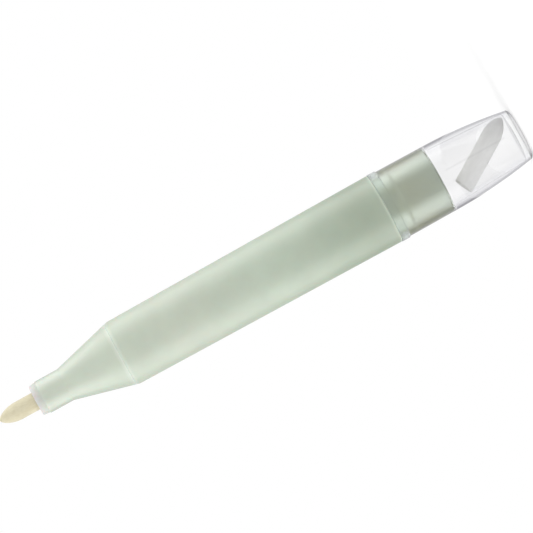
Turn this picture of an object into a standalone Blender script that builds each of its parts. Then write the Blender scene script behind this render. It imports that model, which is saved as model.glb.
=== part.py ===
"""Nail polish corrector pen, standing upright on its clear end cap with the felt tip up.

Metres. +Z runs along the pen's axis, from the cap's flat end to the tip. The origin is the centre of
that flat end. A spare felt tip lies loose in the chamber of the end cap.
"""

import math

import bmesh
import bpy
import numpy as np
from mathutils import Matrix, Vector

# Fits between pieces
SNUG = 0.00015  # radial clearance of pieces that grip each other
SEAT = 0.0002  # gap between faces that meet end to end
LOOSE = 0.0003  # clearance of what is only laid in or slid in

# Felt tip, and the spare one
TIP_RADIUS = 0.0019
TIP_LENGTH = 0.0153
TIP_BULLET = 0.0044  # length of the rounded end
TIP_BLUNTNESS = 1.3  # 1 is a half ellipse, more is a finer point
TIP_EXPOSED = 0.0083
TIP_CHAMFER = 0.0002

# Clear end cap
CAP_LENGTH = 0.0309
CAP_END_WALL = 0.00145
CAP_SEAT_DEPTH = 0.0122  # bore that takes the barrel's tenon
CAP_BORE_RADIUS = 0.00675
CAP_NECK_RADIUS = 0.00732
CAP_NECK_DRAFT = 0.00008
CAP_RIM_RADIUS = 0.00755
CAP_RIM_LENGTH = 0.0016
CAP_CURVE_RADIUS = 0.100  # the outside narrows to the end along this arc
CAP_CORNER = 0.00065
CAP_EDGE = 0.0002
CHAMBER_MOUTH_RADIUS = 0.0055
CHAMBER_FLOOR_RADIUS = 0.0048
CHAMBER_LEAD_IN = 0.0014
CHAMBER_CORNER = 0.0005
SPARE_OFFSET = 0.0008  # how far the spare tip lies behind the pen's axis

# Snap bead of the tenon and its groove in the cap
CAP_BEAD = 0.0001
CAP_BEAD_LENGTH = 0.0012
CAP_BEAD_FROM_SHOULDER = 0.0032

# Barrel
BARREL_LENGTH = 0.0604  # from its shoulder to its front face
BARREL_REAR_RADIUS = 0.00746
BARREL_FRONT_RADIUS = 0.0070
BARREL_BORE_RADIUS = 0.0059
BARREL_CHAMFER = 0.0007  # length of the front edge, which carries on the cone of the nose
BARREL_EDGE = 0.00015
TENON_WALL = 0.0016
TENON_CHAMFER = 0.0004
LEDGE_FROM_SHOULDER = 0.0020  # the reservoir stands on this ledge
RIB_COUNT = 6
RIB_THICKNESS = 0.0007

# Nose section
NOSE_RADIUS = 0.00352
NOSE_LENGTH = 0.0052  # straight part, ahead of the cone
NOSE_EDGE = 0.00015
CONE_LENGTH = 0.01235
CONE_BASE_RADIUS = 0.00678
CONE_WALL = 0.00135
SPIGOT_LENGTH = 0.0075
SPIGOT_WALL = 0.00115
SPIGOT_CHAMFER = 0.0003
SPIGOT_BEAD = 0.0002
SPIGOT_BEAD_LENGTH = 0.0010
WEB_COUNT = 4
WEB_THICKNESS = 0.0008
WEB_LENGTH = 0.0062

# Tip holder
FLANGE_LENGTH = 0.0013
FLANGE_REAR_RADIUS = 0.0034
FLANGE_FRONT_RADIUS = 0.0032
FLANGE_EDGE = 0.0002
SLEEVE_WALL = 0.0006
SLEEVE_LENGTH = 0.0128
SLEEVE_CHAMFER = 0.0002
VENT_COUNT = 3
VENT_WIDTH = 0.0006
VENT_DEPTH = 0.00025
VENT_FROM_FLANGE = 0.0006

# Reservoir, its film and the feed wick
CORE_RADIUS = 0.0048
FILM_THICKNESS = 0.0002
WICK_RADIUS = 0.0016
WICK_IN_CORE = 0.0050
WICK_TAPER = 0.0015
WICK_POINT_RADIUS = 0.0006

# Rear plug
PLUG_LENGTH = 0.0080
PLUG_WALL = 0.0010
PLUG_FLOOR = 0.0013
PLUG_CHAMFER = 0.0004
PLUG_GROOVE_DEPTH = 0.00025
PLUG_GROOVE_LENGTH = 0.0014
PLUG_GROOVE_COUNT = 2

# Smoothness of round shapes
OUTER_STEPS = 48
INNER_STEPS = 32
FILLET_STEPS = 3
CURVE_STEPS = 8
SHARP_ANGLE = math.radians(28)

# Radii that follow from the sizes above
TENON_RADIUS = CAP_BORE_RADIUS - SNUG
TENON_BORE_RADIUS = TENON_RADIUS - TENON_WALL
SPIGOT_RADIUS = BARREL_BORE_RADIUS - SNUG
SPIGOT_BORE_RADIUS = SPIGOT_RADIUS - SPIGOT_WALL
TIP_BORE_RADIUS = TIP_RADIUS + SNUG
SLEEVE_RADIUS = TIP_BORE_RADIUS + SLEEVE_WALL
NOSE_BORE_RADIUS = SLEEVE_RADIUS + SNUG
WICK_BORE_RADIUS = WICK_RADIUS + SNUG
FILM_BORE_RADIUS = CORE_RADIUS + SNUG
FILM_RADIUS = FILM_BORE_RADIUS + FILM_THICKNESS

# Heights above the cap's flat end
CAP_LEDGE_Z = CAP_LENGTH - CAP_SEAT_DEPTH
CHAMBER_MOUTH_Z = CAP_LEDGE_Z - CHAMBER_LEAD_IN
SHOULDER_Z = CAP_LENGTH + SEAT
TENON_END_Z = CAP_LEDGE_Z + SEAT
CORE_LEDGE_Z = SHOULDER_Z + LEDGE_FROM_SHOULDER
BARREL_FRONT_Z = SHOULDER_Z + BARREL_LENGTH
NOSE_BASE_Z = BARREL_FRONT_Z + SEAT
SPIGOT_END_Z = NOSE_BASE_Z - SPIGOT_LENGTH
NOSE_FRONT_Z = NOSE_BASE_Z + CONE_LENGTH + NOSE_LENGTH
FLANGE_Z = NOSE_FRONT_Z + SEAT
TIP_END_Z = FLANGE_Z + FLANGE_LENGTH + TIP_EXPOSED - TIP_LENGTH
TIP_STOP_Z = TIP_END_Z - SEAT
CORE_Z = CORE_LEDGE_Z + SEAT
CORE_LENGTH = SPIGOT_END_Z - SEAT - CORE_Z
WICK_Z = CORE_Z + CORE_LENGTH - WICK_IN_CORE


def clear_scene():
    """Remove whatever the file holds, so that only the pen is left."""
    for obj in list(bpy.data.objects):
        bpy.data.objects.remove(obj, do_unlink=True)


def new_collection(name):
    """A collection of this name, linked to the scene."""
    collection = bpy.data.collections.new(name)
    bpy.context.scene.collection.children.link(collection)
    return collection


def new_material(name, colour, roughness, alpha=1.0):
    """A Principled material; alpha below 1 makes it see-through."""
    material = bpy.data.materials.new(name)
    material.use_nodes = True
    shader = material.node_tree.nodes["Principled BSDF"]
    shader.inputs["Base Color"].default_value = (*colour, 1.0)
    shader.inputs["Roughness"].default_value = roughness
    shader.inputs["Metallic"].default_value = 0.0
    shader.inputs["Alpha"].default_value = alpha
    material.diffuse_color = (*colour, alpha)
    return material


def fillet(before, corner, after, radius):
    """Points of the arc that rounds the corner with this radius."""
    back = (before - corner).normalized()
    ahead = (after - corner).normalized()
    half = back.angle(ahead) / 2
    centre = corner + (back + ahead).normalized() * radius / math.sin(half)
    start = (corner + back * radius / math.tan(half) - centre).normalized()
    end = (corner + ahead * radius / math.tan(half) - centre).normalized()
    return [centre + start.slerp(end, i / FILLET_STEPS) * radius for i in range(FILLET_STEPS + 1)]


def rounded(corners):
    """(radius, height) points through the corners; a corner with a third number is filleted by it."""
    flat = [Vector(corner[:2]) for corner in corners]
    points = []
    for i, corner in enumerate(corners):
        if len(corner) == 3:
            points += fillet(flat[i - 1], flat[i], flat[(i + 1) % len(flat)], corner[2])
        else:
            points.append(flat[i])
    return [tuple(point) for point in points]


def turned(name, corners, steps, closed):
    """A shape turned about +Z from its outline, which runs down the outer side."""
    points = rounded(corners)
    edges = [(i, i + 1) for i in range(len(points) - 1)]
    if closed:
        edges.append((len(points) - 1, 0))
    mesh = bpy.data.meshes.new(name)
    mesh.from_pydata([(radius, 0, height) for radius, height in points], edges, [])
    obj = bpy.data.objects.new(name, mesh)
    turn = obj.modifiers.new("Turn", "SCREW")
    turn.angle = math.tau
    turn.steps = turn.render_steps = steps
    turn.use_merge_vertices = True
    turn.merge_threshold = 0.000001
    return obj


def radial_plates(name, outline, thickness, count, helpers):
    """Flat plates that stand round the axis, as one helper object for a Boolean."""
    shape = bmesh.new()
    for i in range(count):
        face = shape.faces.new([shape.verts.new((r, -thickness / 2, z)) for r, z in outline])
        grown = bmesh.ops.extrude_face_region(shape, geom=[face])["geom"]
        front = [item for item in grown if isinstance(item, bmesh.types.BMVert)]
        bmesh.ops.translate(shape, verts=front, vec=(0, thickness, 0))
        turn = Matrix.Rotation(math.tau * i / count, 3, "Z")
        bmesh.ops.rotate(shape, verts=front + list(face.verts), matrix=turn)
    bmesh.ops.recalc_face_normals(shape, faces=shape.faces)
    mesh = bpy.data.meshes.new(name)
    shape.to_mesh(mesh)
    shape.free()
    obj = bpy.data.objects.new(name, mesh)
    obj.hide_render = True
    obj.display_type = "WIRE"
    helpers.objects.link(obj)
    return obj


def boolean(obj, operation, other):
    """Join another object to this one, or cut it out, at the place where this one stands."""
    modifier = obj.modifiers.new(other.name, "BOOLEAN")
    modifier.operation = operation
    modifier.solver = "EXACT"
    modifier.object = other


def bullet(height):
    """Outline of the tip's rounded end, from its point at this height down to its full radius."""
    base = height - TIP_BULLET
    turns = [math.pi / 2 * (1 - i / CURVE_STEPS) for i in range(1, CURVE_STEPS)]
    sides = [(TIP_RADIUS * math.cos(a) ** TIP_BLUNTNESS, base + TIP_BULLET * math.sin(a)) for a in turns]
    return [(0, height), *sides, (TIP_RADIUS, base)]


def felt_tip(name):
    """A bullet tip that stands on its flat end."""
    corners = [
        *bullet(TIP_LENGTH),
        (TIP_RADIUS, TIP_CHAMFER),
        (TIP_RADIUS - TIP_CHAMFER, 0),
        (0, 0),
    ]
    return turned(name, corners, INNER_STEPS, closed=False)


def cap_outside(height):
    """Outer radius of the cap's body, which narrows along an arc below the seat."""
    drop = max(0.0, CAP_LEDGE_Z - height)
    sagitta = CAP_CURVE_RADIUS - math.sqrt(CAP_CURVE_RADIUS**2 - drop**2)
    return CAP_NECK_RADIUS - CAP_NECK_DRAFT - sagitta


def chamber_radius(height):
    """Inner radius of the spare tip's chamber, which narrows towards its floor."""
    share = (height - CAP_END_WALL) / (CHAMBER_MOUTH_Z - CAP_END_WALL)
    return CHAMBER_FLOOR_RADIUS + (CHAMBER_MOUTH_RADIUS - CHAMBER_FLOOR_RADIUS) * share


def end_cap():
    """Clear cap: the bore for the tenon, the chamber below it, a raised rim and a curved outside."""
    rim_z = CAP_LENGTH - CAP_RIM_LENGTH
    groove_z = SHOULDER_Z - CAP_BEAD_FROM_SHOULDER
    groove_radius = CAP_BORE_RADIUS + CAP_BEAD
    curve = [CAP_LEDGE_Z * (1 - i / CURVE_STEPS) for i in range(CURVE_STEPS)]
    corners = [
        (0, CAP_END_WALL),
        (CHAMBER_FLOOR_RADIUS, CAP_END_WALL, CHAMBER_CORNER),
        (CHAMBER_MOUTH_RADIUS, CHAMBER_MOUTH_Z),
        ((CHAMBER_MOUTH_RADIUS + CAP_BORE_RADIUS) / 2, CAP_LEDGE_Z),
        (CAP_BORE_RADIUS, CAP_LEDGE_Z),
        (CAP_BORE_RADIUS, groove_z - CAP_BEAD_LENGTH),
        (groove_radius, groove_z - CAP_BEAD_LENGTH / 2),
        (groove_radius, groove_z + CAP_BEAD_LENGTH / 2),
        (CAP_BORE_RADIUS, groove_z + CAP_BEAD_LENGTH),
        (CAP_BORE_RADIUS, CAP_LENGTH - CAP_EDGE),
        (CAP_BORE_RADIUS + CAP_EDGE, CAP_LENGTH),
        (CAP_RIM_RADIUS, CAP_LENGTH, CAP_EDGE),
        (CAP_RIM_RADIUS, rim_z, CAP_EDGE),
        (CAP_NECK_RADIUS, rim_z),
        *[(cap_outside(height), height) for height in curve],
        (cap_outside(0), 0, CAP_CORNER),
        (0, 0),
    ]
    return turned("end_cap", corners, OUTER_STEPS, closed=False)


def barrel(helpers):
    """Tapered barrel, in heights above its tenon's end."""
    shoulder = SHOULDER_Z - TENON_END_Z
    ledge = CORE_LEDGE_Z - TENON_END_Z
    front = BARREL_FRONT_Z - TENON_END_Z
    bead = shoulder - CAP_BEAD_FROM_SHOULDER
    groove = front - SPIGOT_LENGTH / 2
    slope = (CONE_BASE_RADIUS - NOSE_RADIUS) / CONE_LENGTH
    half_bead = CAP_BEAD_LENGTH / 2
    corners = [
        (BARREL_BORE_RADIUS, front),
        (BARREL_FRONT_RADIUS - slope * BARREL_CHAMFER, front),
        (BARREL_FRONT_RADIUS, front - BARREL_CHAMFER, BARREL_CHAMFER),
        (BARREL_REAR_RADIUS, shoulder, BARREL_EDGE),
        (TENON_RADIUS, shoulder),
        (TENON_RADIUS, bead + half_bead),
        (TENON_RADIUS + CAP_BEAD, bead),
        (TENON_RADIUS, bead - half_bead),
        (TENON_RADIUS, TENON_CHAMFER),
        (TENON_RADIUS - TENON_CHAMFER, 0),
        (TENON_BORE_RADIUS, 0),
        (TENON_BORE_RADIUS, ledge),
        (BARREL_BORE_RADIUS, ledge),
        (BARREL_BORE_RADIUS, groove - SPIGOT_BEAD_LENGTH),
        (BARREL_BORE_RADIUS + SPIGOT_BEAD, groove - SPIGOT_BEAD_LENGTH / 2),
        (BARREL_BORE_RADIUS + SPIGOT_BEAD, groove + SPIGOT_BEAD_LENGTH / 2),
        (BARREL_BORE_RADIUS, groove + SPIGOT_BEAD_LENGTH),
    ]
    obj = turned("barrel", corners, OUTER_STEPS, closed=True)
    inner = FILM_RADIUS + LOOSE
    outer = (BARREL_BORE_RADIUS + BARREL_FRONT_RADIUS) / 2
    lead_in = BARREL_BORE_RADIUS - inner
    top = front - SPIGOT_LENGTH - SPIGOT_BEAD_LENGTH
    ribs = [(inner, ledge - TENON_WALL), (outer, ledge - TENON_WALL), (outer, top), (inner, top - lead_in)]
    plates = radial_plates("barrel_ribs", ribs, RIB_THICKNESS, RIB_COUNT, helpers)
    plates.location.z = TENON_END_Z
    boolean(obj, "UNION", plates)
    return obj


def nose_section(helpers):
    """Front of the pen, in heights above the face that meets the barrel."""
    cone_top = CONE_LENGTH
    front = CONE_LENGTH + NOSE_LENGTH
    slope = (CONE_BASE_RADIUS - NOSE_RADIUS) / CONE_LENGTH
    bead = -SPIGOT_LENGTH / 2 - SEAT
    half_bead = SPIGOT_BEAD_LENGTH / 2

    def cone_height(radius):
        """Height at which the inside of the cone has this radius."""
        return (CONE_BASE_RADIUS - CONE_WALL - radius) / slope

    corners = [
        (NOSE_BORE_RADIUS, front),
        (NOSE_RADIUS, front, NOSE_EDGE),
        (NOSE_RADIUS, cone_top),
        (CONE_BASE_RADIUS, 0),
        (SPIGOT_RADIUS, 0),
        (SPIGOT_RADIUS, bead + half_bead),
        (SPIGOT_RADIUS + SPIGOT_BEAD, bead),
        (SPIGOT_RADIUS, bead - half_bead),
        (SPIGOT_RADIUS, SPIGOT_CHAMFER - SPIGOT_LENGTH),
        (SPIGOT_RADIUS - SPIGOT_CHAMFER, -SPIGOT_LENGTH),
        (SPIGOT_BORE_RADIUS, -SPIGOT_LENGTH),
        (SPIGOT_BORE_RADIUS, cone_height(SPIGOT_BORE_RADIUS)),
        (NOSE_BORE_RADIUS, cone_height(NOSE_BORE_RADIUS)),
    ]
    obj = turned("nose_section", corners, OUTER_STEPS, closed=True)
    top = cone_height(NOSE_BORE_RADIUS)
    low = top - WEB_LENGTH
    sunk = CONE_WALL / 2
    webs = [
        (NOSE_BORE_RADIUS, low),
        (NOSE_BORE_RADIUS + slope * WEB_LENGTH + sunk, low),
        (NOSE_BORE_RADIUS + sunk, top),
        (NOSE_BORE_RADIUS + sunk, top + sunk),
        (NOSE_BORE_RADIUS, top + sunk),
    ]
    plates = radial_plates("nose_webs", webs, WEB_THICKNESS, WEB_COUNT, helpers)
    plates.location.z = NOSE_BASE_Z
    boolean(obj, "UNION", plates)
    return obj


def tip_holder(helpers):
    """Insert that grips the tip, in heights above its flange's rear face."""
    stop = TIP_STOP_Z - FLANGE_Z
    corners = [
        (TIP_BORE_RADIUS, FLANGE_LENGTH),
        (FLANGE_FRONT_RADIUS, FLANGE_LENGTH, FLANGE_EDGE),
        (FLANGE_REAR_RADIUS, 0),
        (SLEEVE_RADIUS, 0),
        (SLEEVE_RADIUS, SLEEVE_CHAMFER - SLEEVE_LENGTH),
        (SLEEVE_RADIUS - SLEEVE_CHAMFER, -SLEEVE_LENGTH),
        (WICK_BORE_RADIUS, -SLEEVE_LENGTH),
        (WICK_BORE_RADIUS, stop),
        (TIP_BORE_RADIUS, stop),
    ]
    obj = turned("tip_holder", corners, INNER_STEPS, closed=True)
    inner = SLEEVE_RADIUS - VENT_DEPTH
    outer = SLEEVE_RADIUS + VENT_WIDTH
    low = -SLEEVE_LENGTH - VENT_WIDTH
    vents = [(inner, low), (outer, low), (outer, -VENT_FROM_FLANGE), (inner, -VENT_FROM_FLANGE)]
    plates = radial_plates("holder_vents", vents, VENT_WIDTH, VENT_COUNT, helpers)
    plates.location.z = FLANGE_Z
    boolean(obj, "DIFFERENCE", plates)
    return obj


def feed_wick():
    """Fibre rod from the reservoir to the tip, with a tapered end that pierces the filler."""
    length = TIP_STOP_Z - WICK_Z
    corners = [
        (0, length),
        (WICK_RADIUS, length),
        (WICK_RADIUS, WICK_TAPER),
        (WICK_POINT_RADIUS, 0),
        (0, 0),
    ]
    return turned("feed_wick", corners, INNER_STEPS, closed=False)


def reservoir_core():
    """Fibre filler with the hole that the wick's tapered end makes."""
    hole_radius = WICK_RADIUS + SNUG
    hole_floor = CORE_LENGTH - WICK_IN_CORE - LOOSE
    corners = [
        (0, hole_floor),
        (WICK_POINT_RADIUS + SNUG, hole_floor),
        (hole_radius, hole_floor + WICK_TAPER),
        (hole_radius, CORE_LENGTH),
        (CORE_RADIUS, CORE_LENGTH),
        (CORE_RADIUS, 0),
        (0, 0),
    ]
    return turned("reservoir_core", corners, INNER_STEPS, closed=False)


def reservoir_wrap():
    """Thin film sleeve round the filler."""
    corners = [
        (FILM_BORE_RADIUS, CORE_LENGTH),
        (FILM_RADIUS, CORE_LENGTH),
        (FILM_RADIUS, 0),
        (FILM_BORE_RADIUS, 0),
    ]
    return turned("reservoir_wrap", corners, INNER_STEPS, closed=True)


def rear_plug():
    """Cup that closes the tenon, with grooves that leave sealing ribs between them."""
    radius = TENON_BORE_RADIUS - SNUG
    groove_radius = radius - PLUG_GROOVE_DEPTH
    pitch = PLUG_LENGTH / (PLUG_GROOVE_COUNT + 1)
    grooves = []
    for i in range(PLUG_GROOVE_COUNT, 0, -1):
        top = i * pitch + PLUG_GROOVE_LENGTH / 2
        low = top - PLUG_GROOVE_LENGTH
        grooves += [
            (radius, top),
            (groove_radius, top - PLUG_GROOVE_DEPTH),
            (groove_radius, low + PLUG_GROOVE_DEPTH),
            (radius, low),
        ]
    corners = [
        (0, PLUG_FLOOR),
        (groove_radius - PLUG_WALL, PLUG_FLOOR),
        (groove_radius - PLUG_WALL, PLUG_LENGTH),
        (radius - PLUG_CHAMFER, PLUG_LENGTH),
        (radius, PLUG_LENGTH - PLUG_CHAMFER),
        *grooves,
        (radius, PLUG_CHAMFER),
        (radius - PLUG_CHAMFER, 0),
        (0, 0),
    ]
    return turned("rear_plug", corners, INNER_STEPS, closed=False)


def halved(low, high, holds):
    """The largest value between low and high for which holds is true, if it is true at low."""
    for _ in range(40):
        middle = (low + high) / 2
        low, high = (middle, high) if holds(middle) else (low, middle)
    return low


def spare_points(lean):
    """Points on the spare tip's surface, with the centre of its flat end at the origin."""
    outline = bullet(TIP_LENGTH) + [(TIP_RADIUS, TIP_CHAMFER), (TIP_RADIUS - TIP_CHAMFER, 0)]
    radius, height = np.array(outline).T
    turn = np.linspace(0, math.tau, INNER_STEPS, endpoint=False)[:, None]
    across, along = radius * np.cos(turn), height + 0 * turn
    x = across * math.cos(lean) + along * math.sin(lean)
    z = across * math.sin(lean) - along * math.cos(lean)
    return x, radius * np.sin(turn) + SPARE_OFFSET, z


def spare_room(x, y, z, shift):
    """Distance from points on the spare tip to the chamber's wall, with the tip moved along X by shift."""
    return chamber_radius(z) - np.hypot(x + shift, y)


def spare_place():
    """Lean, X and Z of the spare tip, which stands on its point and leans from wall to wall."""

    def settled(lean):
        """Its X and Z at this lean, and the room that is left beside it."""
        x, y, z = spare_points(lean)
        lift = CAP_END_WALL + LOOSE - z.min()
        ahead = x > x.mean()

        def clears(shift):
            return spare_room(x, y, z + lift, shift)[ahead].min() > LOOSE

        shift = halved(-2 * CHAMBER_MOUTH_RADIUS, CHAMBER_MOUTH_RADIUS, clears)
        return shift, lift, spare_room(x, y, z + lift, shift).min()

    lean = halved(0, math.pi / 3, lambda angle: settled(angle)[2] > LOOSE * 0.99)
    return lean, *settled(lean)[:2]


def freeze(obj, material):
    """Make the modifiers' result the object's own mesh, smooth between its sharp edges."""
    graph = bpy.context.evaluated_depsgraph_get()
    mesh = bpy.data.meshes.new_from_object(obj.evaluated_get(graph))
    mesh.name = obj.name
    mesh.materials.clear()
    mesh.materials.append(material)
    mesh.shade_smooth()
    mesh.set_sharp_from_angle(angle=SHARP_ANGLE)
    obj.modifiers.clear()
    obj.data = mesh


def place(obj, material, collection, height, parent=None):
    """Stand the object on the axis at this height and settle its mesh; a parent moves it."""
    collection.objects.link(obj)
    obj.location.z = height
    bpy.context.view_layer.update()
    freeze(obj, material)
    if parent:
        obj.parent = parent
        obj.location.z = height - parent.location.z
    return obj


def main():
    clear_scene()
    pen = new_collection("nail_polish_corrector_pen")
    helpers = new_collection("cutters")
    frosted = new_material("frosted_green_plastic", (0.50, 0.57, 0.46), 0.45)
    holder = new_material("natural_plastic", (0.58, 0.58, 0.55), 0.4)
    clear = new_material("clear_plastic", (0.92, 0.93, 0.93), 0.05, alpha=0.3)
    felt = new_material("felt", (0.70, 0.64, 0.47), 0.9)
    fibre = new_material("fibre", (0.80, 0.80, 0.76), 0.95)
    film = new_material("film", (0.85, 0.86, 0.86), 0.2)
    plug = new_material("plug_plastic", (0.36, 0.37, 0.28), 0.4)

    # The pen lifts out of the end cap along +Z, and its tip pulls out of the holder the same way.
    pulled = bpy.data.objects.new("pen_pull", None)
    pulled.location.z = SHOULDER_Z
    pen.objects.link(pulled)

    place(end_cap(), clear, pen, 0)
    place(barrel(helpers), frosted, pen, TENON_END_Z, pulled)
    place(rear_plug(), plug, pen, TENON_END_Z, pulled)
    place(reservoir_core(), fibre, pen, CORE_Z, pulled)
    place(reservoir_wrap(), film, pen, CORE_Z, pulled)
    place(feed_wick(), fibre, pen, WICK_Z, pulled)
    place(nose_section(helpers), frosted, pen, NOSE_BASE_Z, pulled)
    place(tip_holder(helpers), holder, pen, FLANGE_Z, pulled)
    place(felt_tip("applicator_tip"), felt, pen, TIP_END_Z, pulled)

    spare = place(felt_tip("spare_tip"), felt, pen, 0)
    lean, x, z = spare_place()
    spare.location = (x, SPARE_OFFSET, z)
    spare.rotation_euler.y = math.pi - lean


main()
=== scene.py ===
"""Looks of the nail polish corrector pen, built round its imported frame.

Metres, in the frame's axes: the pen stands on its clear end cap with the felt tip up. The fine meshes
repeat the solids' outlines with more steps and rounder edges, and each rides on its solid's body.
"""

import math

import bmesh
import bpy
import numpy as np
from mathutils import Matrix, Vector, noise


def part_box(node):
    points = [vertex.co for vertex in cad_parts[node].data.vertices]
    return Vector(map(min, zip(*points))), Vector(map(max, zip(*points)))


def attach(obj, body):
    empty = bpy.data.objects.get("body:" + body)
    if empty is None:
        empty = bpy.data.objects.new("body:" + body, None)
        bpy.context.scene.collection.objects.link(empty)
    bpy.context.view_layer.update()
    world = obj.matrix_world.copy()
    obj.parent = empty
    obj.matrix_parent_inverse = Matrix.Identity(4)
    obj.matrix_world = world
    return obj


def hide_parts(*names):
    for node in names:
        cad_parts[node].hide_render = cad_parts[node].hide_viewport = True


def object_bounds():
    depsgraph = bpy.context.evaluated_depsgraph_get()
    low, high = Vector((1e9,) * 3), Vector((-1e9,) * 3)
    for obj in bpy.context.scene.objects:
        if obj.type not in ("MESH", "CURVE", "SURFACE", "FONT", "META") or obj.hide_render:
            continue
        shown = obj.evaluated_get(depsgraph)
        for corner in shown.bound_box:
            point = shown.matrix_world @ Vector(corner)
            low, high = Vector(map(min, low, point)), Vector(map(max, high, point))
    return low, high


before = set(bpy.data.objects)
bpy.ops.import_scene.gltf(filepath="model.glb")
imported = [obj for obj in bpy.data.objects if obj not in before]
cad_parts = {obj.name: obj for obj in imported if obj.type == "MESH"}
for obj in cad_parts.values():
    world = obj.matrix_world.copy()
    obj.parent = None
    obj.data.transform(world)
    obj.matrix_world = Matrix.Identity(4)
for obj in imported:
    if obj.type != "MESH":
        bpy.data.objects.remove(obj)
cad_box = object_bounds()

# Photograph
PHOTO_WIDTH = 533
TIP_PIXEL = (0.2, 420.7)  # point of the felt tip
END_PIXEL = (520.6, 133.45)  # centre of the cap's flat end
CAMERA_RISE = math.radians(1.5)
CAMERA_DISTANCE = 0.8
SENSOR_WIDTH = 36.0  # millimetres, as Blender gives it

# Sizes that the frame's boxes give
CAP_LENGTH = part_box("end_cap")[1].z
CAP_RIM_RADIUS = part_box("end_cap")[1].x
TENON_END_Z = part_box("barrel")[0].z
BARREL_FRONT_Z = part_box("barrel")[1].z
BARREL_REAR_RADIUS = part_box("barrel")[1].x
SPIGOT_END_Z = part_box("nose_section")[0].z
NOSE_FRONT_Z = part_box("nose_section")[1].z
CONE_BASE_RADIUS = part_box("nose_section")[1].x
SLEEVE_END_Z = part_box("tip_holder")[0].z
FLANGE_FRONT_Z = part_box("tip_holder")[1].z
FLANGE_REAR_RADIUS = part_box("tip_holder")[1].x
TIP_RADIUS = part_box("applicator_tip")[1].x
TIP_END_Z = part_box("applicator_tip")[0].z
TIP_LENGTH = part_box("applicator_tip")[1].z - TIP_END_Z
PLUG_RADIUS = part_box("rear_plug")[1].x
PLUG_TOP_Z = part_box("rear_plug")[1].z

# Gaps of the solids, and the hair that the fine meshes leave between faces that meet
SEAT = 0.0002
SNUG = 0.00015
HAIR = 0.00001

# Edge radii that several pieces share
SOFT_EDGE = 0.0002
EDGE = 0.0001
CLOSE_EDGE = 0.00008
FINE_EDGE = 0.00005
SEAM_EDGE = 0.00006  # on both sides of the seam between nose and barrel

# Felt tips
TIP_BULLET = 0.0044
TIP_BLUNTNESS = 1.3
TIP_CHAMFER = 0.0002
FELT_STEPS = 96
FELT_RING = 0.00012  # height of a ring of the felt's mesh
FELT_RELIEF = 0.000022  # depth of the felt's dents
FELT_SINK = 0.00003  # the dents lie below the plain outline
FINE_DENTS = (5200, 1500)  # their scale per metre, across and along the tip
BROAD_DENTS = (1500, 500)
FINE_SHARE = 0.6  # of the relief
SPARE_POINT_SHADE = 0.86  # share of its lightness that the spare tip keeps at its point, under its painted shade

# Clear end cap
CAP_END_WALL = 0.00145
CAP_SEAT_DEPTH = 0.0122
CAP_BORE_RADIUS = 0.00675
CAP_NECK_RADIUS = 0.00732
CAP_NECK_DRAFT = 0.00008
CAP_RIM_LENGTH = 0.0016
CAP_RIM_EDGE = 0.00015
CAP_CURVE_RADIUS = 0.100
CAP_CURVE_STEPS = 26
CAP_CORNER = 0.00065
CAP_EDGE = 0.00012
CAP_BEND = 0.0004  # of the chamber's mouth and the snap groove
CHAMBER_MOUTH_RADIUS = 0.0055
CHAMBER_FLOOR_RADIUS = 0.0048
CHAMBER_LEAD_IN = 0.0014
CHAMBER_CORNER = 0.0005
RIDGE_TURN = math.radians(-82)  # where the chamber's mould ridge is, round from +X
RIDGE_HEIGHT = 0.00005
RIDGE_HALF_WIDTH = 0.00025
RIDGE_START_Z = 0.0033
RIDGE_RINGS = 12
RIDGE_SHADE = 0.88  # share of the tint that its painted shade leaves
RIDGE_SHADE_CORE = 0.0001  # half width of its full shade
RIDGE_SHADE_REACH = 1.3  # the shade ends at this many of the ridge's half widths
RIDGE_SHADE_FRONT = (0.9, 0.8)  # full in front of the first share of the floor's radius, none behind both
RIDGE_FADE = 0.0004  # length over which the shade fades at the ridge's two ends
CAP_BEAD = 0.0001
CAP_BEAD_LENGTH = 0.0012
CAP_BEAD_FROM_SHOULDER = 0.0032

# Barrel, its tenon and the plug in it
BARREL_FRONT_RADIUS = 0.0070
BARREL_BORE_RADIUS = 0.0059
BARREL_CHAMFER = 0.0007
TENON_WALL = 0.0016
TENON_CHAMFER = 0.0004
BEAD_REACH = 0.7  # how far the bead's foot lies from its crown, in lengths of its groove
BEAD_FOOT_BEND = 0.002
BEAD_CROWN_BEND = 0.003
LEDGE_FROM_SHOULDER = 0.0020
PLUG_WALL = 0.0010
PLUG_FLOOR = 0.0013
PLUG_FLOOR_BEND = 0.0003
PLUG_CHAMFER = 0.0004
PLUG_GROOVE_DEPTH = 0.00025
PLUG_GROOVE_LENGTH = 0.0014
PLUG_GROOVE_COUNT = 2

# Nose section and tip holder
NOSE_RADIUS = 0.00352
NOSE_LENGTH = 0.0052
NOSE_EDGE = 0.00004  # of its front, and at the spigot's root
CONE_WALL = 0.00135
CONE_BEND = 0.0009  # where the straight nose runs into the cone
CONE_BORE_BEND = 0.0005
SPIGOT_WALL = 0.00115
SPIGOT_CHAMFER = 0.0003
SLEEVE_WALL = 0.0006
SLEEVE_CHAMFER = 0.0002
FLANGE_FRONT_RADIUS = 0.0032
FLANGE_EDGE = 0.0002
FLANGE_BORE_EDGE = 0.00012
FLANGE_REAR_EDGE = 0.00003
NOSE_POLISH = 0.05  # how much less rough the nose's front is than the barrel
NOSE_GLOSS_IOR = 1.6  # of the gloss that grows from the seam to the nose's front
WICK_BORE_RADIUS = 0.00175

# Indices of the clear plastic: low for what passes through, so that little bends, and high for its gloss
CLEAR_OUTSIDE_IOR = 1.12
CLEAR_INSIDE_IOR = 1.01
CLEAR_END_IOR = 1.001
CLEAR_GLOSS_IOR = 1.7
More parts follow.
